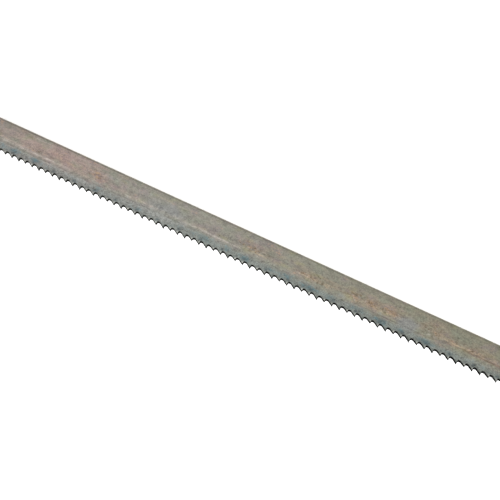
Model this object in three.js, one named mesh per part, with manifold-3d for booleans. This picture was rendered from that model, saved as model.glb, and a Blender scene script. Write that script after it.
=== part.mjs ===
// Toothed blade for a jeweler's saw frame: one straight strip of hardened and tempered carbon steel, with
// fine hook-shaped teeth milled along one edge and a plain tab at each end for the frame's clamps.
//
// Millimetres. X runs along the blade, Y through its thickness, and Z from the flat back edge up to the tooth
// points. The cutting faces of the teeth look towards -X. The origin is the middle of the back edge.
import * as THREE from 'three'
import { mergeVertices } from 'three/addons/utils/BufferGeometryUtils.js'
import Module from 'manifold-3d'

// Driving dimensions
const INCH = 25.4
const BLADE_LENGTH = 130
const BLADE_WIDTH = INCH / 4 // back edge to tooth points
const THICKNESS = 0.025 * INCH
const TEETH_PER_INCH = 18
const GULLETS = 75 // one more than the teeth between the two tabs
const TOOTH_DEPTH = 0.62
const BACK_SLOPE = THREE.MathUtils.degToRad(31.5) // of a tooth's long back, from the blade's length
const CUTTING_FOOT_RADIUS = 0.2 // where a cutting face runs out into the gullet
const SLOPE_FOOT_RADIUS = 0.4 // where the next tooth's back rises from the gullet
const TOOTH_SET = 0.18 // how far a set tooth's point leans out of the blade's plane
const SET_LOSS = 0.03 // a bent tooth stands this much lower than a straight one
const SET_PATTERN = [-1, 0, 1] // raker set, towards -X: one tooth to each side, a straight one between
const END_CORNER = 0.3 // chamfer on the four corners of the strip
const ARC_STEPS = 3 // straight steps in each gullet arc
const STEEL = { color: 0x8d857b, roughness: 0.48, metalness: 0.8 }

// Sizes that follow from them
const PITCH = INCH / TEETH_PER_INCH
const GULLET_Z = BLADE_WIDTH - TOOTH_DEPTH
const TOOTHED_LENGTH = GULLETS * PITCH

const wasm = await Module()
wasm.setup()

function toManifold(geometry) {
  const bare = geometry.index ? geometry.toNonIndexed() : geometry.clone()
  bare.deleteAttribute('normal')
  bare.deleteAttribute('uv')
  const merged = mergeVertices(bare, 1e-5)
  return new wasm.Manifold(
    new wasm.Mesh({
      numProp: 3,
      vertProperties: new Float32Array(merged.attributes.position.array),
      triVerts: new Uint32Array(merged.index.array),
    }),
  )
}

function toGeometry(manifold) {
  const mesh = manifold.getMesh()
  const geometry = new THREE.BufferGeometry()
  geometry.setAttribute('position', new THREE.BufferAttribute(mesh.vertProperties, 3))
  geometry.setIndex(new THREE.BufferAttribute(mesh.triVerts, 1))
  geometry.computeVertexNormals()
  return geometry
}

// Extrudes an outline drawn in X and Z through the blade's thickness, centred on Y = 0.
function throughThickness(shape, curveSegments) {
  const geometry = new THREE.ExtrudeGeometry(shape, {
    depth: THICKNESS,
    bevelEnabled: false,
    curveSegments,
  })
  geometry.translate(0, 0, -THICKNESS / 2)
  geometry.rotateX(Math.PI / 2)
  return geometry
}

// The cutting face's half of a gullet's outline, from the gullet floor up to a point at height. The face is
// at x = 0 with the metal on its +X side.
function cuttingFace(shape, height) {
  shape.moveTo(-CUTTING_FOOT_RADIUS, 0)
  shape.absarc(-CUTTING_FOOT_RADIUS, CUTTING_FOOT_RADIUS, CUTTING_FOOT_RADIUS, -Math.PI / 2, 0, false)
  shape.lineTo(0, height)
}

// The back slope's half, from a point at (x, height) down to the gullet floor on its +X side.
function backSlope(shape, x, height) {
  const foot = x + height / Math.tan(BACK_SLOPE)
  const tangent = SLOPE_FOOT_RADIUS * Math.tan(BACK_SLOPE / 2)
  const end = foot + tangent
  shape.lineTo(foot - tangent * Math.cos(BACK_SLOPE), tangent * Math.sin(BACK_SLOPE))
  shape.absarc(end, SLOPE_FOOT_RADIUS, SLOPE_FOOT_RADIUS, -Math.PI / 2 - BACK_SLOPE, -Math.PI / 2, false)
}

// A tooth stands on the gullet floor. Its set is a shear that leaves its foot in the blade's plane.
function makeTooth(side) {
  const height = TOOTH_DEPTH - (side === 0 ? 0 : SET_LOSS)
  const outline = new THREE.Shape()
  cuttingFace(outline, height)
  backSlope(outline, 0, height)
  outline.closePath()
  const geometry = throughThickness(outline, ARC_STEPS)
  const lean = (side * TOOTH_SET) / height
  geometry.applyMatrix4(new THREE.Matrix4().makeShear(0, 0, 0, 0, 0, lean))
  return geometry
}

// The strip below the teeth, with its two full-width tabs.
function makeStrip() {
  const half = BLADE_LENGTH / 2
  const outline = new THREE.Shape()
  outline.moveTo(-half + END_CORNER, 0)
  outline.lineTo(half - END_CORNER, 0)
  outline.lineTo(half, END_CORNER)
  outline.lineTo(half, GULLET_Z)
  outline.lineTo(-half, GULLET_Z)
  outline.lineTo(-half, END_CORNER)
  outline.closePath()
  return throughThickness(outline, 1)
}

// The +X tab ends like a cutting face, and the -X tab like a tooth's back.
function makeCuttingSideTab() {
  const end = BLADE_LENGTH / 2 - TOOTHED_LENGTH / 2
  const outline = new THREE.Shape()
  cuttingFace(outline, TOOTH_DEPTH)
  outline.lineTo(end - END_CORNER, TOOTH_DEPTH)
  outline.lineTo(end, TOOTH_DEPTH - END_CORNER)
  outline.lineTo(end, 0)
  outline.closePath()
  return throughThickness(outline, ARC_STEPS)
}

function makeSlopeSideTab() {
  const end = TOOTHED_LENGTH / 2 - BLADE_LENGTH / 2
  const outline = new THREE.Shape()
  outline.moveTo(end, 0)
  outline.lineTo(end, TOOTH_DEPTH - END_CORNER)
  outline.lineTo(end + END_CORNER, TOOTH_DEPTH)
  outline.lineTo(0, TOOTH_DEPTH)
  backSlope(outline, 0, TOOTH_DEPTH)
  outline.closePath()
  return throughThickness(outline, ARC_STEPS)
}

function makeBlade() {
  const pieces = [toManifold(makeStrip())]
  const place = (geometry, x) => pieces.push(toManifold(geometry.translate(x, 0, GULLET_Z)))
  place(makeCuttingSideTab(), TOOTHED_LENGTH / 2)
  place(makeSlopeSideTab(), -TOOTHED_LENGTH / 2)
  for (let i = 1; i < GULLETS; i++) {
    const side = SET_PATTERN[(i - 1) % SET_PATTERN.length]
    place(makeTooth(side), TOOTHED_LENGTH / 2 - i * PITCH)
  }
  return toGeometry(pieces.reduce((whole, piece) => whole.add(piece)))
}

const blade = new THREE.Mesh(makeBlade(), new THREE.MeshStandardMaterial(STEEL))
blade.name = 'blade'

const saw_blade = new THREE.Group()
saw_blade.add(blade)

export default saw_blade
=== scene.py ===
import math

import bpy
import numpy as np
from mathutils import Matrix, Vector


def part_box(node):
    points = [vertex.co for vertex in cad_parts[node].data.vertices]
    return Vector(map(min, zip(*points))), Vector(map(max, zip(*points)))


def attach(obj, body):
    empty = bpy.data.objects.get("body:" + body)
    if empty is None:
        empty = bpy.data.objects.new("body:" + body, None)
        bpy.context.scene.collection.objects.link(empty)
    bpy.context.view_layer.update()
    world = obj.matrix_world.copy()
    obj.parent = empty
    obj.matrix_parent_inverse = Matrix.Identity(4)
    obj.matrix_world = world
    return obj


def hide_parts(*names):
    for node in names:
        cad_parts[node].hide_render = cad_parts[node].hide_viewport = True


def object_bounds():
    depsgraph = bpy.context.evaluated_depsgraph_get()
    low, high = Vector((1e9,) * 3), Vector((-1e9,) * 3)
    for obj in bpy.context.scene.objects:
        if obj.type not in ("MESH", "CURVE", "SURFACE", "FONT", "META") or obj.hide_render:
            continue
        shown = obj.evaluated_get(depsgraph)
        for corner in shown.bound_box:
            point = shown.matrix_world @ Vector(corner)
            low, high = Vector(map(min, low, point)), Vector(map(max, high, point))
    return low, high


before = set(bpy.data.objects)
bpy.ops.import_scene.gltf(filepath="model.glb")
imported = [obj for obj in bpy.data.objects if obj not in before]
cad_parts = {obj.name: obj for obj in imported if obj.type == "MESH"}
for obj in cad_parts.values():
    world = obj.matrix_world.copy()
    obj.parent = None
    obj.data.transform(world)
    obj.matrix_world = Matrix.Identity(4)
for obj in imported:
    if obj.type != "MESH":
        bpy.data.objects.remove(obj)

cad_low, cad_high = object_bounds()

MM = 0.001  # metres in a millimetre
BLADE_LOW, BLADE_HIGH = (np.array(corner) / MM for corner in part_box("blade"))
HALF_LENGTH = float(BLADE_HIGH[0] - BLADE_LOW[0]) / 2
WIDTH = float(BLADE_HIGH[2] - BLADE_LOW[2])

# The tooth form, as in the CAD part
INCH = 25.4
TEETH_PER_INCH = 18
PITCH = INCH / TEETH_PER_INCH
THICKNESS = 0.025 * INCH
GULLETS = 75
DEPTH = 0.62
SLOPE = math.radians(31.5)
CUTTING_FOOT = 0.2
SLOPE_FOOT = 0.4
SET = 0.18
SET_LOSS = 0.03
SET_PATTERN = (-1, 0, 1)
END_CORNER = 0.3
GULLET_Z = WIDTH - DEPTH
FIRST_RAKE = GULLETS * PITCH / 2  # where the +X tab's cutting face stands

# What the visual model adds to it
BEND_START = 0.15  # below the gullet floor, where a set tooth begins to bend
BEND_POWER = 1.2  # above 1, the bend starts gently
BEND_BLEND = 0.16  # of a pitch: this near the next tooth, the bend fades out below the gullet floor
BEND_BLEND_HEIGHT = 0.12  # from this far above the gullet floor, it doesn't fade
TOOTH_ROUND = 0.018  # broken edges of the teeth
BACK_ROUND = 0.09  # rounded corners of the back edge
END_ROUND = 0.03
SHARP_ANGLE = math.radians(40)  # mesh edges that turn more than this stay sharp

# Mesh steps
CUTTING_FOOT_STEPS = 6
CUTTING_FACE_STEPS = 3
BACK_STEPS = 6
SLOPE_FOOT_STEPS = 4
FLOOR_STEPS = 2
TAB_COLUMNS = 26
WALL_STEPS = 4
FAN_STEPS = 7
FAN_Z = GULLET_Z - 1.1  # below this height the side faces are a plain grid, and above it they fan out
LOWER_ROWS = (0.15, 0.45, 0.9, 1.35, 1.8, 2.2, 2.6, 2.95, 3.3, 3.65, 4.0, 4.3)

# Where the mesh columns beside the two tabs stand on the plain grid, so that none of them cross
FIRST_SLOPE_START = 0.1  # past the -X tab's end
FIRST_SLOPE_END = 0.05  # short of the first tooth's columns
LAST_FACE_END = 0.25  # past the +X tab's cutting face
LAST_TAB_START = 0.6  # past it too

# Material slots of the blade
ROLLED, MILLED, BACK, SHEARED = range(4)


def srgb(*levels):
    """Linear colour of 0-255 display levels."""
    values = [level / 255 for level in levels]
    return [v / 12.92 if v <= 0.04045 else ((v + 0.055) / 1.055) ** 2.4 for v in values] + [1.0]


def smooth(value, start, end):
    """0 before start, 1 after end, and a smooth rise between them."""
    t = np.clip((value - start) / (end - start), 0, 1)
    return t * t * (3 - 2 * t)


# ---------------------------------------------------------------- blade outline


class Outline:
    """The toothed upper edge from the -X end to the +X end, one entry a mesh column.

    base is where a column's foot stands, side and rake are its tooth's set and the place of its cutting face,
    and milled says whether a cutter made the edge there.
    """

    def __init__(self):
        self.x, self.z, self.base, self.side, self.rake, self.milled = [], [], [], [], [], []

    def run(self, points, base_start, base_end, side, rake, milled=True):
        """Adds points, and spreads their columns' feet from base_start to base_end by distance."""
        points = np.array(points)
        steps = np.hypot(*np.diff(points, axis=0).T)
        along = np.concatenate(([0], np.cumsum(steps)))
        feet = base_start + (base_end - base_start) * along / along[-1]
        for (x, z), foot in zip(points, feet):
            self.x.append(x)
            self.z.append(z)
            self.base.append(foot)
            self.side.append(side)
            self.rake.append(rake)
            self.milled.append(milled)

    def drop_last(self):
        for values in vars(self).values():
            values.pop()


def arc(cx, cz, radius, start, end, steps):
    angles = np.linspace(start, end, steps + 1)
    return [(cx + radius * math.cos(a), cz + radius * math.sin(a)) for a in angles]


def straight(a, b, steps):
    """Points after a, up to and with b."""
    return [tuple(np.array(a) + (np.array(b) - a) * i / steps) for i in range(1, steps + 1)]


def cutting_face(x, top):
    """From the gullet floor round its foot and up a cutting face to the point."""
    centre_z = GULLET_Z + CUTTING_FOOT
    points = arc(x - CUTTING_FOOT, centre_z, CUTTING_FOOT, -math.pi / 2, 0, CUTTING_FOOT_STEPS)
    return points + straight(points[-1], (x, top), CUTTING_FACE_STEPS)


def tooth_back(x, top, floor_end):
    """From a point down the long back and along the gullet floor."""
    foot = x + (top - GULLET_Z) / math.tan(SLOPE)
    tangent = SLOPE_FOOT * math.tan(SLOPE / 2)
    start, end = -math.pi / 2 - SLOPE, -math.pi / 2
    bend = arc(foot + tangent, GULLET_Z + SLOPE_FOOT, SLOPE_FOOT, start, end, SLOPE_FOOT_STEPS)
    back = straight((x, top), bend[0], BACK_STEPS)
    return back + bend[1:] + straight(bend[-1], (floor_end, GULLET_Z), FLOOR_STEPS)


def blade_outline():
    outline = Outline()
    last_rake = -FIRST_RAKE
    floor_end = last_rake + PITCH - CUTTING_FOOT
    tab = [(-HALF_LENGTH, WIDTH - END_CORNER), (-HALF_LENGTH + END_CORNER, WIDTH)]
    tab += straight(tab[-1], (last_rake, WIDTH), TAB_COLUMNS)
    outline.run(tab, -HALF_LENGTH, last_rake, 0, last_rake, milled=False)
    slope = tooth_back(last_rake, WIDTH, floor_end)
    outline.run(slope[:-1], last_rake + FIRST_SLOPE_START, floor_end - FIRST_SLOPE_END, 0, last_rake)
    for i in range(GULLETS - 1, 0, -1):
        rake = FIRST_RAKE - i * PITCH
        side = SET_PATTERN[(i - 1) % len(SET_PATTERN)]
        top = WIDTH - (SET_LOSS if side else 0)
        start = rake - CUTTING_FOOT
        points = cutting_face(rake, top) + tooth_back(rake, top, start + PITCH)
        outline.run(points, start, start + PITCH, side, rake)
        outline.drop_last()  # it is the next tooth's first point
    start = FIRST_RAKE - CUTTING_FOOT
    face = cutting_face(FIRST_RAKE, WIDTH)
    outline.run(face, start, FIRST_RAKE + LAST_FACE_END, 0, FIRST_RAKE)
    tab = straight(face[-1], (HALF_LENGTH - END_CORNER, WIDTH), TAB_COLUMNS)
    tab.append((HALF_LENGTH, WIDTH - END_CORNER))
    outline.run(tab, FIRST_RAKE + LAST_TAB_START, HALF_LENGTH, 0, FIRST_RAKE, milled=False)
    return {name: np.array(values, float) for name, values in vars(outline).items()}


# ---------------------------------------------------------------- heat colours and a painted glint: soft patches along the blade

# Each patch: middle along the blade, middle height, half length, half height, strength.
ALL_HEIGHTS = 50.0
PATCHES = {
    "warm": [
        (39, 2.2, 12.0, 2.4, 1.0),
        (24, 3.3, 4.0, 0.8, 0.5),
        (7, 3.3, 6.0, 0.4, 0.4),
        (-2, 2.6, 4.0, 1.0, 0.6),
        (-13.5, 2.9, 5.0, 1.1, 0.8),
        (-24, 2.9, 6.0, 1.2, 1.0),
        (-34.5, 2.4, 2.6, 1.6, 1.0),
        (-42, 2.9, 5.0, 0.9, 1.0),
    ],
    "rust": [
        (42, 3.2, 4.0, 0.5, 0.4),
        (30.5, 2.4, 2.2, 1.2, 0.5),
        (-0.8, 3.0, 2.6, 0.5, 0.9),
        (-11.5, 3.3, 2.0, 0.4, 0.7),
        (-14.5, 3.5, 2.0, 0.4, 0.8),
        (-20.5, 2.9, 1.2, 0.8, 0.9),
        (-23.5, 3.0, 1.4, 0.6, 0.9),
        (-27, 2.9, 1.8, 0.5, 1.0),
        (-34.5, 2.8, 1.4, 1.1, 0.9),
        (-40.5, 3.3, 4.2, 0.4, 0.65),
    ],
    "grey": [
        (16, 2.9, 5.0, 1.4, 0.9),
        (27.5, 1.8, 2.0, 0.8, 0.6),
        (-18, 4.0, 1.0, 0.5, 0.8),
        (-30.3, 3.8, 2.0, 1.6, 1.2),
        (-49, 2.0, 3.0, 2.0, 0.5),
    ],
    "blue": [
        (48.5, 5.0, 1.2, 0.6, 0.6),
        (46, 5.1, 1.4, 0.7, 1.0),
        (41.6, 5.0, 1.3, 0.6, 1.0),
        (38, 5.3, 1.3, 0.5, 0.5),
        (33.5, 5.3, 1.2, 0.4, 0.6),
        (28.9, 5.1, 1.2, 0.8, 0.8),
        (25, 5.2, 1.3, 0.5, 0.4),
        (20.5, 5.3, 1.4, 0.5, 0.7),
        (12.3, 5.1, 1.4, 0.5, 0.7),
        (10, 5.1, 1.0, 0.5, 0.6),
        (7.4, 5.0, 1.5, 0.7, 0.9),
        (2.8, 5.0, 1.1, 0.6, 0.7),
        (-0.6, 5.2, 1.3, 0.6, 1.0),
        (-5, 5.2, 1.2, 0.5, 0.7),
        (-8.4, 4.9, 1.4, 0.7, 0.8),
        (-12.8, 5.2, 2.0, 0.6, 1.1),
        (-17, 5.1, 1.2, 0.6, 0.8),
        (-22, 5.0, 1.9, 0.7, 0.8),
        (-26, 5.1, 1.6, 0.7, 1.1),
        (-29.8, 5.3, 0.9, 0.5, 0.8),
        (-34, 5.2, 1.7, 0.6, 1.1),
        (-38.5, 5.2, 1.2, 0.4, 0.7),
        (-43, 5.0, 2.6, 0.7, 0.2),
    ],
    "blush": [
        (39, 2.1, 3.0, 0.7, 0.6),
        (46, 3.1, 3.0, 0.6, 0.5),
        (29, 2.6, 2.2, 1.2, 0.7),
        (31, 4.5, 1.6, 0.8, 0.6),
        (-45.8, 3.7, 2.6, 0.3, 0.7),
    ],
    "haze": [
        (31.5, 4.8, 3.5, 0.6, 0.8),
        (17, 4.8, 5.5, 0.7, 1.0),
        (-42, 4.6, 4.0, 0.5, 0.4),
    ],
    # painted highlight: a glint near the back edge
    "glint": [
        (42.5, 0, 2.2, ALL_HEIGHTS, 1.0),
        (34.5, 0, 1.2, ALL_HEIGHTS, 0.5),
    ],
    "seam": [
        (-46, 0, 9.0, ALL_HEIGHTS, 1.0),
    ],
    "pale": [
        (42, 0, 10.0, ALL_HEIGHTS, 0.8),
        (22, 0, 8.0, ALL_HEIGHTS, 0.4),
        (6.5, 0, 5.0, ALL_HEIGHTS, 1.1),
        (-1, 0, 4.0, ALL_HEIGHTS, 0.3),
        (-46, 0, 8.0, ALL_HEIGHTS, 0.2),
    ],
    "tan": [
        (-2, 0, 4.0, ALL_HEIGHTS, 0.6),
        (-13, 0, 4.0, ALL_HEIGHTS, 0.8),
        (-25, 0, 4.0, ALL_HEIGHTS, 0.6),
        (-40, 0, 5.0, ALL_HEIGHTS, 0.7),
    ],
}
OTHER_FACE_SHIFT = 17.0  # the far face has the same kinds of patches in other places

# Painted light and shade on a tooth's face: a bright dab of painted highlight beside the cutting edge, and a
# dark root of painted shade, or a dark point of painted shadow where the tooth leans away. Groups of three
# are for a tooth that leans away from the face's side, stands straight, and leans towards it. Places and
# sizes are along and up the blade, and x counts from the cutting face.
LEANS = (-1, 0, 1)
DAB_PLACE = (0.13, -0.24)  # its z counts from the tooth points
DAB_SIZE = (0.13, 0.26)
DAB_STRENGTHS = (0.0, 0.6, 1.0)
ROOT_LENGTHS = (0.12, 0.45, 0.34)
ROOT_HEIGHTS = (0.22, 0.45, 0.34)
ROOT_STRENGTHS = (0.8, 0.9, 0.65)
SHADOW_POINT_PLACE = (0.06, WIDTH - 0.3)
ROOT_PLACE = (0.2, GULLET_Z - 0.2)


def patch_layer(patches, x, z):
    """The strongest patch at each point."""
    layer = np.zeros_like(x)
    for x0, z0, half_length, half_height, strength in patches:
        layer = np.maximum(layer, strength * mound(x - x0, z - z0, half_length, half_height))
    return layer


def mound(x, z, length, height):
    """1 at (0, 0), falling smoothly away from it."""
    return np.exp(-((x / length) ** 2) - (z / height) ** 2)


# ---------------------------------------------------------------- blade mesh


def outward_normals(loop):
    """Normals of a closed loop that runs anticlockwise seen from -Y.

    They are lengthened at corners, so that an inset edge stays parallel to the first.
    """
    tiny, sharpest = 1e-9, 0.45
    before, after = loop - np.roll(loop, 1, 0), np.roll(loop, -1, 0) - loop

    def edge_normal(edge):
        edge = edge / np.maximum(np.hypot(*edge.T), tiny)[:, None]
        return np.stack((edge[:, 1], -edge[:, 0]), 1)

    first, second = edge_normal(before), edge_normal(after)
    middle = first + second
    middle /= np.maximum(np.hypot(*middle.T), tiny)[:, None]
    cosine = np.clip((middle * first).sum(1), sharpest, 1)
    return middle / cosine[:, None]


def set_offset(x, z, side, rake):
    """How far a point leans out of the strip because its tooth is set."""
    start = GULLET_Z - BEND_START
    rise = np.clip((z - start) / (WIDTH - start), 0, None) ** BEND_POWER
    cell = (x - rake + CUTTING_FOOT) / PITCH
    window = smooth(np.minimum(cell, 1 - cell), 0.0, BEND_BLEND)
    above_floor = smooth(z, GULLET_Z, GULLET_Z + BEND_BLEND_HEIGHT)
    return side * SET * rise * np.maximum(window, above_floor)


def side_grid(line):
    """A side face's points in x and z, by column and row: a plain grid below, then fans up to the outline."""
    columns = len(line["x"])
    bottom_x = line["base"].copy()
    bottom_x[1], bottom_x[-2] = -HALF_LENGTH + END_CORNER, HALF_LENGTH - END_CORNER
    bottom_z = np.zeros(columns)
    bottom_z[[0, -1]] = END_CORNER
    heights = np.array((0,) + LOWER_ROWS + (FAN_Z,), float)
    plain = len(heights)
    fan = np.linspace(0, 1, FAN_STEPS + 1)[1:]

    grid = np.zeros((columns, plain + FAN_STEPS, 2))
    blend = (heights / FAN_Z)[None, :]
    grid[:, :plain, 0] = bottom_x[:, None] * (1 - blend) + line["base"][:, None] * blend
    grid[:, :plain, 1] = bottom_z[:, None] * (1 - blend) + heights[None, :]
    upper = np.stack((line["x"], line["z"]), 1)
    foot = grid[:, plain - 1]
    grid[:, plain:] = foot[:, None] + (upper - foot)[:, None] * fan[None, :, None]
    return grid


def perimeter(columns, rows):
    """Columns and rows round a grid: the back edge, up the +X end, back along the teeth, down the -X end."""
    top = rows - 1
    ring = [(c, 0) for c in range(columns)]
    ring += [(columns - 1, r) for r in range(1, rows)]
    ring += [(c, top) for c in range(columns - 2, -1, -1)]
    ring += [(0, r) for r in range(top - 1, 0, -1)]
    return np.array(ring).T


class BladePoints:
    """The blade's points, each with its tooth's set and cutting face, and 1 where it is on a gullet's rim."""

    def __init__(self):
        self.verts, self.marks, self.count = [], [], 0

    def add(self, points, y, side, rake, rim):
        """Adds points at y, out of line where their tooth is set, and returns their numbers."""
        x, z = points[..., 0].ravel(), points[..., 1].ravel()
        y = y + set_offset(x, z, side.ravel(), rake.ravel())
        self.verts.append(np.stack((x, y, z), 1))
        self.marks.append(np.stack((side.ravel(), rake.ravel(), rim.ravel()), 1))
        first = self.count
        self.count += len(x)
        return np.arange(first, self.count)


def build_blade():
    line = blade_outline()
    grid = side_grid(line)
    columns, rows = grid.shape[:2]
    ring_c, ring_r = perimeter(columns, rows)
    on_top, on_bottom = ring_r == rows - 1, ring_r == 0
    on_end = (ring_c == 0) | (ring_c == columns - 1)
    edge = grid[ring_c, ring_r].copy()
    normals = outward_normals(edge)
    radius = np.where(on_end, END_ROUND, np.where(on_top, TOOTH_ROUND, BACK_ROUND))
    grid[ring_c, ring_r] = edge - normals * radius[:, None]

    # The two side faces, and between them the rings of the rounded edges and the walls
    half = THICKNESS / 2
    side = np.repeat(line["side"][:, None], rows, 1)
    rake = np.repeat(line["rake"][:, None], rows, 1)
    rim = np.zeros((columns, rows))
    rim[:, -1] = line["milled"]
    points = BladePoints()
    near_face = points.add(grid, -half, side, rake, rim).reshape(columns, rows)
    far_face = points.add(grid, half, side, rake, rim).reshape(columns, rows)
    side_ring, rake_ring, no_rim = side[ring_c, ring_r], rake[ring_c, ring_r], np.zeros(len(edge))

    def add_ring(inset, y):
        return points.add(edge - normals * inset[:, None], y, side_ring, rake_ring, no_rim)

    rings = [near_face[ring_c, ring_r]]
    corner = (math.radians(45), math.radians(90))
    for angle in corner:
        rings.append(add_ring(radius * (1 - math.sin(angle)), -half + radius * (1 - math.cos(angle))))
    wall_start, wall_end = -half + radius, half - radius
    for i in range(1, WALL_STEPS):
        y = wall_start * (1 - i / WALL_STEPS) + wall_end * i / WALL_STEPS
        rings.append(add_ring(np.zeros_like(radius), y))
    for angle in reversed(corner):
        rings.append(add_ring(radius * (1 - math.sin(angle)), half - radius * (1 - math.cos(angle))))
    rings.append(far_face[ring_c, ring_r])

    corners = (near_face[:-1, :-1], near_face[1:, :-1], near_face[1:, 1:], near_face[:-1, 1:])
    quads = np.stack([numbers.ravel() for numbers in corners], 1)
    faces = [quads, quads[:, ::-1] + near_face.size]
    slots = [ROLLED] * (2 * len(quads))
    following = np.roll(np.arange(len(edge)), -1)
    milled = line["milled"][ring_c].astype(bool) & on_top
    wall_slot = np.where(milled & milled[following], MILLED, np.where(on_bottom, BACK, SHEARED))
    wall_slot = np.where(on_end & on_end[following], SHEARED, wall_slot)
    for near, far in zip(rings[:-1], rings[1:]):
        faces.append(np.stack((near[following], near, far, far[following]), 1))
        slots += list(wall_slot)

    verts = np.concatenate(points.verts)
    faces = np.concatenate(faces)
    mesh = bpy.data.meshes.new("blade_surface")
    mesh.from_pydata((verts * MM).tolist(), [], faces.tolist())
    mesh.polygons.foreach_set("material_index", np.array(slots, np.int32))
    mesh.polygons.foreach_set("use_smooth", np.ones(len(faces), bool))
    add_surface_attributes(mesh, verts, np.concatenate(points.marks))
    mesh.update()
    mesh.set_sharp_from_angle(angle=SHARP_ANGLE)
    return mesh


def tooth_side(rake):
    """Which way the teeth with these cutting faces are set, as in SET_PATTERN."""
    index = np.rint((FIRST_RAKE - rake) / PITCH).astype(int)
    side = np.array(SET_PATTERN)[(index - 1) % len(SET_PATTERN)]
    return np.where((index > 0) & (index < GULLETS), side, 0)


def tooth_marks(x, z, rake, facing):
    """The bright dabs of painted highlight, and the dark roots and points of painted shade, of each vertex's
    own tooth and the teeth beside it.
    """
    dabs, roots = np.zeros_like(x), np.zeros_like(x)
    for step in (-1, 0, 1):
        face = rake + step * PITCH
        lean = facing * tooth_side(face)
        beside = x - face
        strength = np.interp(lean, LEANS, DAB_STRENGTHS)
        dabs += strength * mound(beside - DAB_PLACE[0], z - WIDTH - DAB_PLACE[1], *DAB_SIZE)
        length = np.interp(lean, LEANS, ROOT_LENGTHS)
        height = np.interp(lean, LEANS, ROOT_HEIGHTS)
        strength = np.interp(lean, LEANS, ROOT_STRENGTHS)
        middle_x = np.where(lean < 0, SHADOW_POINT_PLACE[0], ROOT_PLACE[0])
        middle_z = np.where(lean < 0, SHADOW_POINT_PLACE[1], ROOT_PLACE[1])
        roots += strength * mound(beside - middle_x, z - middle_z, length, height)
    return dabs, roots


def add_surface_attributes(mesh, verts, marks):
    """Stores where the heat colours, the painted glint, the rims of scale and painted shade, and the painted
    highlights and shade on the teeth are, for the materials to read.
    """
    x, y, z = verts.T
    side, rake, rim = marks.T
    near_face = y - set_offset(x, z, side, rake) < 0
    x_heat = np.where(near_face, x, -x + OTHER_FACE_SHIFT)
    values = {name: patch_layer(patches, x_heat, z) for name, patches in PATCHES.items()}
    values["rim"] = rim
    values["dab"], values["root"] = tooth_marks(x, z, rake, np.where(near_face, -1, 1))
    for name, numbers in values.items():
        layer = mesh.attributes.new(name, "FLOAT", "POINT")
        layer.data.foreach_set("value", numbers.astype(np.float32))


# ---------------------------------------------------------------- materials


class Shader:
    """A material's node tree with short calls for the nodes that it uses."""

    def __init__(self, name):
        self.material = bpy.data.materials.new(name)
        self.material.use_nodes = True
        self.tree = self.material.node_tree
        self.surface = self.tree.nodes["Principled BSDF"]

    def node(self, kind, inputs=(), **settings):
        node = self.tree.nodes.new("ShaderNode" + kind)
        for key, value in settings.items():
            setattr(node, key, value)
        for key, value in dict(inputs).items():
            self.put(node.inputs[key], value)
        return node

    def put(self, socket, value):
        if isinstance(value, bpy.types.NodeSocket):
            self.tree.links.new(value, socket)
        else:
            socket.default_value = value

    def math(self, operation, a, b):
        return self.node("Math", {0: a, 1: b}, operation=operation).outputs[0]

    def times(self, a, b):
        return self.math("MULTIPLY", a, b)

    def sum(self, *terms):
        """Each term times its weight, added up."""
        total = None
        for value, weight in terms:
            part = value if weight == 1.0 else self.times(value, weight)
            total = part if total is None else self.math("ADD", total, part)
        return total

    def place(self):
        """The surface point's x, y and z in millimetres."""
        outputs = self.node("SeparateXYZ", {0: self.position()}).outputs
        return outputs["X"], outputs["Y"], outputs["Z"]

    def position(self, stretch=(1, 1, 1), offset=(0, 0, 0)):
        """The surface point in millimetres, each axis times its stretch, plus offset."""
        point = self.node("TexCoord").outputs["Object"]
        scale = [s / MM for s in stretch]
        return self.node("Mapping", {"Vector": point, "Scale": scale, "Location": offset}).outputs[0]

    def noise(self, vector, scale, detail, roughness):
        inputs = {"Vector": vector, "Scale": scale, "Detail": detail, "Roughness": roughness}
        return self.node("TexNoise", inputs).outputs["Fac"]

    def signed_noise(self, vector, scale, detail, roughness):
        """Noise from about -1 to 1."""
        noise = self.noise(vector, scale, detail, roughness)
        return self.times(self.math("SUBTRACT", noise, 0.5), 4.0)

    def spread(self, value, start, end, low=0.0, high=1.0):
        """low before start, high after end, and a smooth change between them."""
        inputs = {"Value": value, "From Min": start, "From Max": end, "To Min": low, "To Max": high}
        return self.node("MapRange", inputs, interpolation_type="SMOOTHSTEP").outputs[0]

    def ridge(self, value, middle, width):
        """1 at the middle, falling smoothly to 0 half a width away."""
        away = self.math("ABSOLUTE", self.math("SUBTRACT", value, middle), 0.0)
        return self.spread(away, 0.0, width / 2, 1.0, 0.0)

    def mix(self, factor, a, b, blend="MIX"):
        node = self.node("Mix", {"Factor": factor}, data_type="RGBA", blend_type=blend)
        colour_inputs = [s for s in node.inputs if s.type == "RGBA"]
        self.put(colour_inputs[0], a)
        self.put(colour_inputs[1], b)
        return next(s for s in node.outputs if s.type == "RGBA")

    def cover(self, colour, paint, amount, strength):
        """Paints over a colour, as strongly as strength where amount is 1."""
        return self.mix(self.times(amount, strength), colour, paint)

    def layer(self, name):
        return self.node("Attribute", attribute_name=name).outputs["Fac"]

    def bump(self, height, strength, distance, under=None):
        """A bump over the one under it, with its distance in metres."""
        inputs = {"Height": height, "Strength": strength, "Distance": distance}
        if under is not None:
            inputs["Normal"] = under
        return self.node("Bump", inputs).outputs[0]

    def finish(self, **sockets):
        for name, value in sockets.items():
            self.put(self.surface.inputs[name.replace("_", " ")], value)
        return self.material


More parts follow.
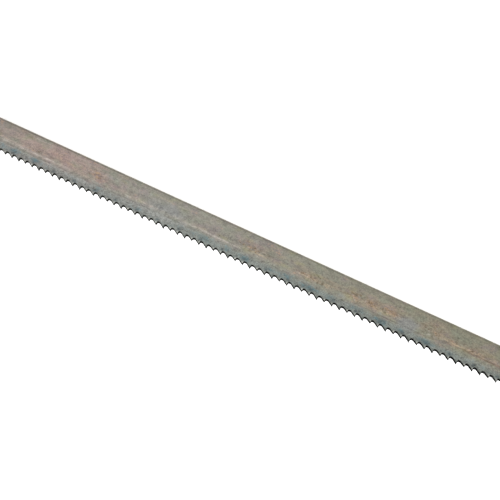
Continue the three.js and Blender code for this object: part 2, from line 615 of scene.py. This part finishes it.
SHADE = 0.84  # evens out the studio light, so that the colours below come out as they are named
PLAIN_GREY = srgb(147, 144, 134)
PLAIN_OLIVE = srgb(142, 139, 122)
WARM_BROWN = srgb(157, 142, 134)
OLIVE_BROWN = srgb(150, 139, 122)
NEUTRAL_GREY = srgb(144, 145, 142)
PURPLE_GREY = srgb(145, 133, 140)
YELLOW_OLIVE = srgb(138, 137, 104)
PINK = srgb(163, 140, 134)
RUST = srgb(160, 138, 115)
PALE = srgb(184, 176, 168)
TAN = srgb(170, 156, 134)
BAND_GREY = srgb(136, 141, 136)
BAND_BROWN = srgb(142, 141, 138)
GREEN_GREY = srgb(138, 146, 130)
TEMPER_BLUE = srgb(78, 108, 115)
# dark scale; where it draws the shadow line and the line beside the back edge, painted shade
DARK_SCALE_AND_SHADE = srgb(84, 82, 74)
DARK_BROWN = srgb(104, 90, 72)
# scale and painted shade on the faces along the gullets' rims
BLACK_SCALE_AND_SHADE = srgb(24, 25, 24)
# painted light on the milled backs of the teeth
PAINTED_LIGHT_ON_BACKS = srgb(66, 68, 64)
HAZE = srgb(152, 153, 149)
# painted shade at the roots of the teeth, and a painted highlight beside their cutting edges
ROOT_PAINTED_SHADE = srgb(74, 86, 90)
PAINTED_HIGHLIGHT = srgb(220, 220, 212)

# Noise on the rolled faces: its stretch along, through and across the blade, an offset that keeps its grid
# clear of the others', its scale, its detail and its roughness
ROLLED_NOISE = {
    "clouds": ((0.4, 9, 0.8), (3.3, 1.7, 0.6), 1.0, 2, 0.5),
    "tint": ((0.6, 9, 0.9), (9.4, 2.2, 8.1), 0.9, 1, 0.4),
    "blotches": ((0.8, 9, 1.2), (5.3, 0.9, 5.4), 1.3, 4, 0.62),
    "flecks": ((0.8, 9, 1.2), (4.4, 3.1, 9.2), 1.9, 2, 0.55),
    "mottle": ((1, 9, 1.4), (7.6, 1.3, 3.8), 3.2, 4, 0.65),
    "streaks": ((0.09, 9, 3.0), (2.6, 0.4, 1.9), 1.0, 4, 0.62),
    "grain": ((1, 9, 1.6), (6.1, 2.6, 7.7), 6.0, 2, 0.7),
    "specks": ((0.9, 9, 1.3), (2.7, 5.5, 6.3), 2.0, 3, 0.6),
}

# Heights of the lines along the rolled faces, and how wide each one is
EDGE_LINE = (0.28, 0.3)
GLINT_LINE = (0.85, 0.45)
TAN_LINE = (3.42, 0.6)
PALE_LINE = (3.72, 0.65)
SEAM_LINE = (3.74, 0.55)
SHADOW_LINE = (4.3, 0.6)


class RolledSteel(Shader):
    """The side faces: rolled strip with heat colours, greyer and bluer in the hardened band along the teeth.

    The first two numbers in a spread of x are places along the blade, and in a spread of z they are heights.
    The other numbers are amounts of paint or of noise.
    """

    def __init__(self):
        super().__init__("rolled_steel")
        self.x, _, self.z = self.place()
        self.noises = {
            name: self.signed_noise(self.position(stretch, offset), scale, detail, roughness)
            for name, (stretch, offset, scale, detail, roughness) in ROLLED_NOISE.items()
        }

    def broken(self, value, **weights):
        """A value plus each named noise times its weight."""
        return self.sum((value, 1.0), *((self.noises[name], weight) for name, weight in weights.items()))

    def heat_colours(self):
        """Grey to olive steel, under warm, pink, rusty and grey patches."""
        x, noises = self.x, self.noises
        towards_far_end = self.spread(x, -15, 20)
        colour = self.mix(self.spread(x, -45, 10), PLAIN_OLIVE, PLAIN_GREY)

        warm = self.broken(self.layer("warm"), clouds=0.2, tint=0.12, streaks=0.2)
        warm_colour = self.mix(towards_far_end, OLIVE_BROWN, WARM_BROWN)
        colour = self.mix(self.spread(warm, 0.0, 0.8), colour, warm_colour)

        tint = noises["tint"]
        colour = self.mix(self.spread(tint, 0.0, 0.9, 0.0, 0.33), colour, PURPLE_GREY)
        colour = self.mix(self.spread(tint, -0.9, 0.0, 0.33, 0.0), colour, GREEN_GREY)
        olive = self.sum((noises["clouds"], 0.7), (noises["flecks"], 0.1))
        colour = self.mix(self.spread(olive, 0.0, 0.9, 0.0, 0.65), colour, YELLOW_OLIVE)

        pink = self.broken(self.times(self.layer("warm"), 0.6), mottle=0.1, tint=0.25, clouds=0.25)
        colour = self.cover(colour, PINK, self.spread(pink, 0.4, 1.1, 0.0, 0.8), towards_far_end)
        blush = self.broken(self.layer("blush"), tint=0.3, flecks=0.15)
        colour = self.mix(self.spread(blush, 0.2, 1.3, 0.0, 0.8), colour, PINK)
        rust = self.broken(self.layer("rust"), mottle=0.3, flecks=0.5, tint=0.5, streaks=0.3)
        colour = self.mix(self.spread(rust, 0.38, 1.25), colour, RUST)
        grey = self.broken(self.layer("grey"), clouds=0.15, tint=0.15)
        return self.mix(self.spread(grey, 0.15, 0.9, 0.0, 0.9), colour, NEUTRAL_GREY)

    def toothed_band(self):
        """1 in the hardened band along the teeth, with a soft, uneven lower edge."""
        height = self.broken(self.z, clouds=0.25, blotches=0.2)
        height = self.math("ADD", height, self.spread(self.x, -30, 10, -0.25, 0.0))
        return self.spread(height, 3.7, 5.1)

    def paint_band(self, colour, band):
        """The band's own greys, with haze and temper blue near the teeth."""
        band_colour = self.mix(self.spread(self.x, 5, 40, 0.0, 0.85), BAND_GREY, BAND_BROWN)
        colour = self.cover(colour, band_colour, band, 0.9)
        haze = self.broken(self.layer("haze"), blotches=0.3, flecks=0.2)
        colour = self.mix(self.spread(haze, 0.1, 1.2, 0.0, 0.85), colour, HAZE)
        blue = self.broken(self.layer("blue"), mottle=0.35, blotches=0.5, flecks=0.4)
        blue = self.sum((blue, 1.0), (band, 0.15))
        return self.mix(self.spread(blue, 0.3, 1.6, 0.0, 0.8), colour, TEMPER_BLUE)

    def paint_lines(self, colour):
        """Pale and tan lines and a dark seam along the blade, a painted shadow line, a painted glint, and a
        line of painted shade beside its back edge.
        """
        x = self.x
        height = self.broken(self.z, clouds=0.05, streaks=0.12)
        pale_height = self.math("ADD", height, self.spread(x, -2, 10, -0.2, 0.0))
        pale = self.broken(self.layer("pale"), flecks=0.15, streaks=0.15)
        pale = self.times(self.ridge(pale_height, *PALE_LINE), self.spread(pale, 0.1, 1.1))
        colour = self.cover(colour, PALE, pale, 0.85)
        tan = self.broken(self.layer("tan"), flecks=0.35, streaks=0.3)
        tan = self.times(self.ridge(height, *TAN_LINE), self.spread(tan, 0.1, 1.1))
        colour = self.cover(colour, TAN, tan, 0.7)
        # painted shadow: a dark line along the blade
        shadow = self.math("ADD", self.spread(x, 0, 25, 0.04, 0.26), self.times(self.ridge(x, -28, 24), 0.35))
        colour = self.cover(colour, DARK_SCALE_AND_SHADE, self.ridge(height, *SHADOW_LINE), shadow)
        seam = self.times(self.ridge(height, *SEAM_LINE), self.layer("seam"))
        colour = self.cover(colour, DARK_BROWN, seam, 0.65)
        # painted highlight: the glint near the back edge
        glint = self.times(self.ridge(height, *GLINT_LINE), self.layer("glint"))
        colour = self.cover(colour, PALE, glint, 0.6)
        # painted shade beside the rounded back edge
        edge = self.ridge(self.broken(self.z, mottle=0.04), *EDGE_LINE)
        return self.cover(colour, DARK_SCALE_AND_SHADE, edge, self.spread(x, -40, 15, 0.2, 0.52))

    def paint_marks(self, colour, pits):
        """Pits, burnt and bright specks in the rust, the gullets' rims of scale and painted shade, and the
        painted highlights and shade on the teeth.
        """
        x, specks = self.x, self.noises["specks"]
        colour = self.cover(colour, DARK_SCALE_AND_SHADE, pits, 0.5)
        rusty = self.spread(self.layer("rust"), 0.0, 0.5)
        burns = self.times(self.spread(specks, 0.25, 0.65), rusty)
        colour = self.cover(colour, DARK_BROWN, burns, 0.75)
        lights = self.times(self.spread(specks, -0.7, -0.25, 1.0, 0.0), rusty)
        colour = self.cover(colour, PALE, lights, 0.5)
        # scale and painted shade along the gullets' rims, stronger towards -X
        rim_strength = self.math("ADD", self.spread(x, -46, 5, 0.5, 0.0), self.spread(x, -40, -36, 0.4, 0.0))
        colour = self.cover(colour, BLACK_SCALE_AND_SHADE, self.layer("rim"), rim_strength)
        # painted shade: dark roots of the teeth, and dark points where they lean away
        root = self.broken(self.layer("root"), mottle=0.25)
        colour = self.mix(self.spread(root, 0.1, 1.2, 0.0, 0.85), colour, ROOT_PAINTED_SHADE)
        # painted highlight beside each cutting edge, strongest on teeth that lean towards the face
        return self.cover(colour, PAINTED_HIGHLIGHT, self.layer("dab"), 0.9)

    def shading(self, band):
        """Lighter towards +X, darker from mid height up, and mottled from the rolls' streaks to the grain."""
        x, z, noises = self.x, self.z, self.noises
        along = self.spread(x, -HALF_LENGTH, 35, -0.12, 0.07)
        upper = self.spread(z, 1.2, 2.7, 0.0, -0.09)
        middle = self.times(self.ridge(z, 2.85, 1.4), -0.05)
        toothed = self.spread(z, 3.9, 5.6, 0.0, -0.05)
        lifted = self.times(self.spread(z, 1.2, 2.7), self.spread(z, 4.4, 5.4, 1.0, 0.3))
        lifted = self.times(lifted, self.spread(x, -25, 0, 0.06, 0.0))
        roots = self.times(self.spread(z, 4.5, 5.6), self.spread(x, 5, 34, 0.0, -0.09))
        backed = self.times(self.spread(z, 0.8, 2.1, 1.0, 0.0), self.spread(x, 33, 46, 0.0, -0.1))
        places = (along, upper, middle, toothed, lifted, roots, backed)
        shade = self.sum(*((place, 1.0) for place in places))
        shade = self.broken(
            shade, clouds=0.04, streaks=0.05, blotches=0.12, flecks=0.15, mottle=0.26, grain=0.17
        )
        grain_in_band = self.times(noises["grain"], band)
        mottle_in_band = self.times(noises["mottle"], band)
        shade = self.sum((shade, 1.0), (grain_in_band, 0.2), (mottle_in_band, 0.08))
        shade = self.math("ADD", shade, SHADE)
        return self.node("CombineColor", {0: shade, 1: shade, 2: shade}).outputs[0]

    def make(self):
        pit_noise = self.noise(self.position((1, 9, 1), (1.8, 3.2, 11.4)), 1.9, 2, 0.5)
        pits = self.spread(pit_noise, 0.66, 0.75)
        band = self.toothed_band()
        colour = self.paint_band(self.heat_colours(), band)
        colour = self.paint_marks(self.paint_lines(colour), pits)
        colour = self.mix(1.0, colour, self.shading(band), "MULTIPLY")
        roughness = self.math("ADD", self.times(self.noises["mottle"], 0.07), 0.46)
        normal = self.bump(self.noises["streaks"], 0.3, 0.00002)
        normal = self.bump(self.noises["mottle"], 0.3, 0.00001, normal)
        normal = self.bump(self.noises["grain"], 0.3, 0.000005, normal)
        normal = self.bump(pits, -0.5, 0.00002, normal)
        return self.finish(Base_Color=colour, Roughness=roughness, Metallic=0.85, Normal=normal)


def milled_gullets():
    """Cut walls of the teeth, near black with hardening scale and painted shade, with the cutter's marks
    across them.
    """
    s = Shader("milled_gullets")
    x = s.place()[0]
    scale = s.noise(s.position(offset=(2.3, 6.1, 1.7)), 3.5, 4, 0.6)
    cutter = s.noise(s.position((9, 0.4, 9), (4.6, 1.3, 2.8)), 1.2, 2, 0.5)
    uneven = s.spread(scale, 0.35, 0.75)
    light = s.mix(uneven, srgb(30, 31, 29), srgb(44, 44, 40))
    dark = s.mix(uneven, srgb(6, 7, 6), srgb(16, 16, 14))
    colour = s.mix(s.spread(x, -30, 40), dark, light)
    # Painted light: the long backs of the teeth, which look towards +X, are lighter, and the more so towards
    # the far end
    facing = s.node("SeparateXYZ", {0: s.node("TexCoord").outputs["Normal"]}).outputs["X"]
    colour = s.cover(colour, PAINTED_LIGHT_ON_BACKS, s.spread(facing, 0.15, 0.5), s.spread(x, -30, 45, 0.05, 0.75))
    roughness = s.math("ADD", s.times(scale, 0.2), 0.55)
    normal = s.bump(cutter, 0.5, 0.00002)
    return s.finish(
        Base_Color=colour, Roughness=roughness, Metallic=0.0, Specular_IOR_Level=0.0, Normal=normal
    )


def back_edge_steel():
    """The rolled back edge, with fine lines along it."""
    s = Shader("back_edge_steel")
    lines = s.noise(s.position((0.08, 6, 2), (3.7, 1.2, 0.4)), 2.0, 4, 0.6)
    blotches = s.noise(s.position(offset=(5.2, 2.4, 1.3)), 0.9, 3, 0.6)
    colour = s.mix(s.spread(blotches, 0.35, 0.7), srgb(132, 127, 114), srgb(150, 138, 122))
    colour = s.cover(colour, DARK_SCALE_AND_SHADE, s.spread(lines, 0.5, 0.8), 0.4)
    roughness = s.math("ADD", s.times(lines, 0.25), 0.33)
    normal = s.bump(lines, 0.5, 0.00003)
    return s.finish(Base_Color=colour, Roughness=roughness, Metallic=0.85, Normal=normal)


def sheared_steel():
    """Ends and tab edges: the shear's bright land and the torn grey band beside it."""
    s = Shader("sheared_steel")
    y = s.place()[1]
    tear = s.noise(s.position((6, 1, 6), (7.2, 3.4, 5.6)), 1.0, 3, 0.6)
    torn = s.math("ADD", y, s.times(s.math("SUBTRACT", tear, 0.5), 0.25))
    torn = s.spread(torn, -0.02, 0.05)
    colour = s.mix(torn, srgb(150, 146, 136), srgb(108, 104, 95))
    roughness = s.math("ADD", s.times(torn, 0.3), 0.32)
    normal = s.bump(tear, 0.6, 0.00004)
    return s.finish(Base_Color=colour, Roughness=roughness, Metallic=0.8, Normal=normal)


def make_blade():
    mesh = build_blade()
    # In the order of the material slots
    for material in (RolledSteel().make(), milled_gullets(), back_edge_steel(), sheared_steel()):
        mesh.materials.append(material)
    blade = bpy.data.objects.new("steel_blade", mesh)
    bpy.context.scene.collection.objects.link(blade)
    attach(blade, "root")
    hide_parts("blade")


# ---------------------------------------------------------------- studio

SENSOR = 36.0
FOCAL = 108.0
TURN = math.radians(17.1)  # of the view from straight at the face, round the vertical
LIFT = math.radians(28.0)  # of the camera above the horizontal
ROLL = math.radians(212.93)
DISTANCE = 254.45
AIM = (-0.533, -THICKNESS / 2, 3.343)

# In metres
CLIP_START, CLIP_END = 0.01, 20.0
FLOOR_HALF = 4.0
FLOOR_GAP = 0.00002  # below the blade, so that its back edge and the floor aren't in one plane


def make_camera():
    camera = bpy.data.objects.new("camera", bpy.data.cameras.new("camera"))
    bpy.context.scene.collection.objects.link(camera)
    camera.data.lens = FOCAL
    camera.data.sensor_width = SENSOR
    camera.data.clip_start = CLIP_START
    camera.data.clip_end = CLIP_END
    level = math.cos(LIFT)
    forward = Vector((math.sin(TURN) * level, math.cos(TURN) * level, -math.sin(LIFT)))
    right = forward.cross(Vector((0, 0, 1))).normalized()
    up = right.cross(forward)
    roll_right = right * math.cos(ROLL) + up * math.sin(ROLL)
    roll_up = up * math.cos(ROLL) - right * math.sin(ROLL)
    turn = Matrix((roll_right, roll_up, -forward)).transposed().to_4x4()
    place = (Vector(AIM) - forward * DISTANCE) * MM
    camera.matrix_world = Matrix.Translation(place) @ turn
    bpy.context.scene.camera = camera


def make_floor():
    half = FLOOR_HALF
    mesh = bpy.data.meshes.new("floor")
    corners = [(-half, -half, 0), (half, -half, 0), (half, half, 0), (-half, half, 0)]
    mesh.from_pydata(corners, [], [(0, 1, 2, 3)])
    s = Shader("pale_floor")
    mesh.materials.append(s.finish(Base_Color=srgb(244, 244, 244), Roughness=0.9))
    floor = bpy.data.objects.new("floor", mesh)
    floor.location.z = float(cad_low[2]) - FLOOR_GAP
    bpy.context.scene.collection.objects.link(floor)


def make_lamp(name, place, size, power):
    """A round lamp at a place in metres, pointing at the origin."""
    lamp = bpy.data.lights.new(name, "AREA")
    lamp.shape = "DISK"
    lamp.size = size
    lamp.energy = power
    light = bpy.data.objects.new(name, lamp)
    bpy.context.scene.collection.objects.link(light)
    light.location = place
    light.rotation_mode = "QUATERNION"
    light.rotation_quaternion = (-Vector(place)).to_track_quat("-Z", "Y")


def make_light():
    """An even white world, and two soft lamps for a little shape."""
    world = bpy.data.worlds.new("studio")
    world.use_nodes = True
    background = world.node_tree.nodes["Background"]
    background.inputs["Color"].default_value = (1, 1, 1, 1)
    background.inputs["Strength"].default_value = 1.0
    bpy.context.scene.world = world
    make_lamp("key", (-0.35, -0.5, 0.7), size=0.5, power=6.0)
    make_lamp("fill", (0.5, 0.5, 0.6), size=0.6, power=4.0)
    bpy.context.scene.view_settings.view_transform = "Standard"


make_camera()
make_floor()
make_light()
make_blade()
